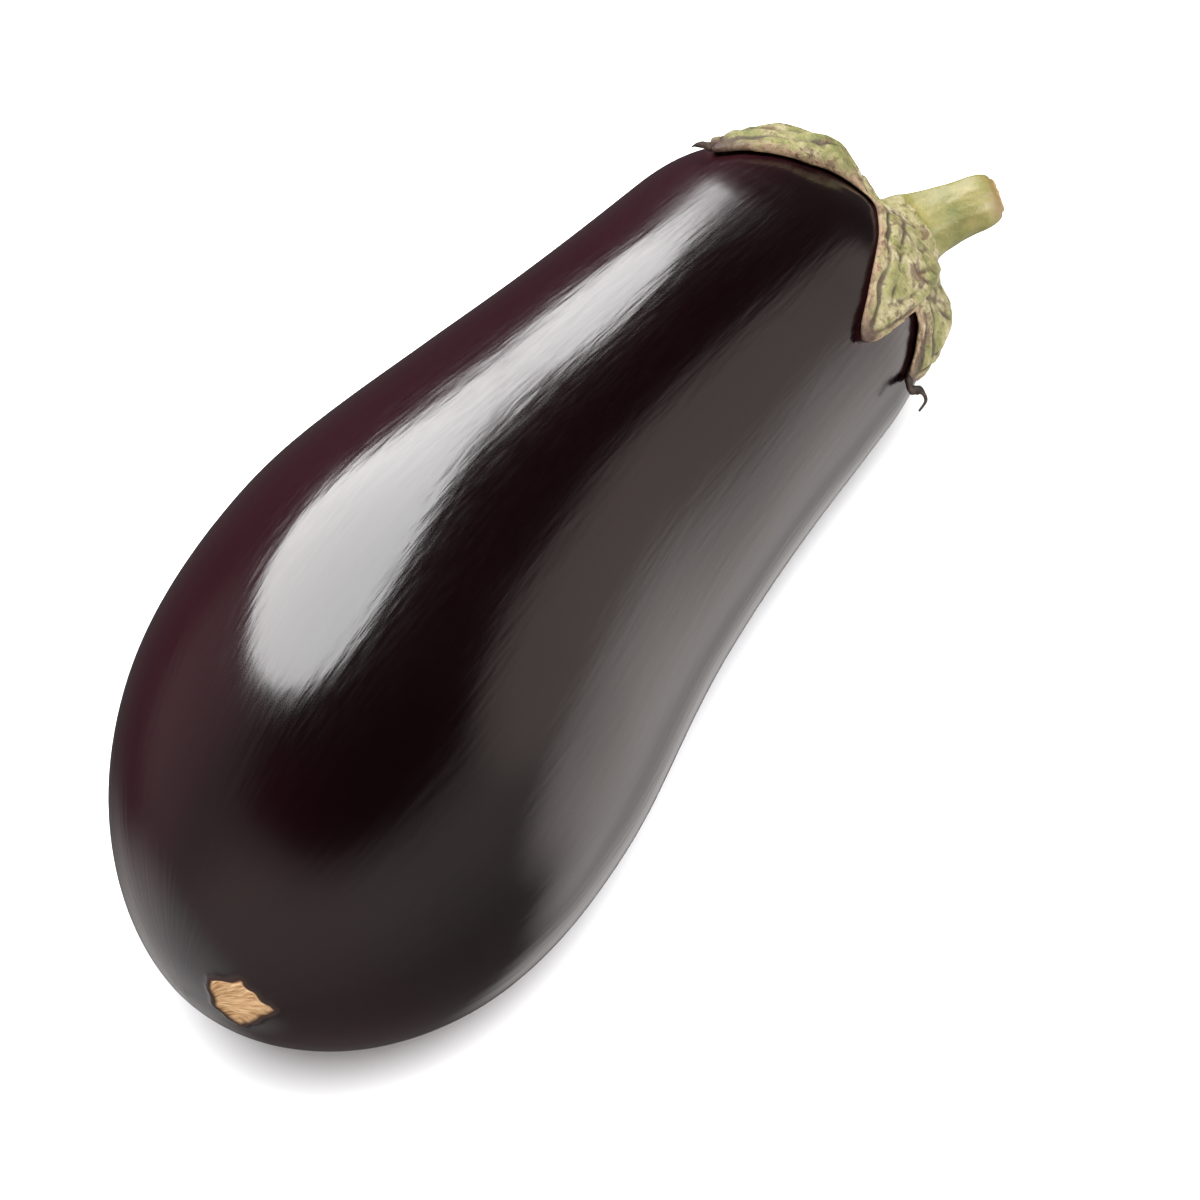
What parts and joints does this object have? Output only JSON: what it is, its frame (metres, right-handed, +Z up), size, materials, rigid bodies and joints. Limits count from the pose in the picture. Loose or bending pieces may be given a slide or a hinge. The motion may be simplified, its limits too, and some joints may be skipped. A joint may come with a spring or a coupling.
{
  "type": "eggplant",
  "caption": "Whole dark purple eggplant lying on its side: a glossy pear-shaped fruit with a green calyx of pointed sepals and a short cut stem.",
  "frame": {"origin": "middle of the flat resting spot on the belly, on the surface that the fruit lies on", "axes": "+X along the fruit towards the stem, +Z up, away from the surface that it lies on"},
  "size_m": [0.2162, 0.0945, 0.0924],
  "materials": {
    "skin": "waxy, glossy aubergine skin, nearly black purple",
    "calyx": "dull, wrinkled yellow-green sepals with dry tan rims",
    "stem": "satin yellow-green stem with a browned, cut end"
  },
  "bodies": {
    "root": {"fruit": "skin", "calyx": "calyx", "stem": "stem"}
  },
  "joints": []
}
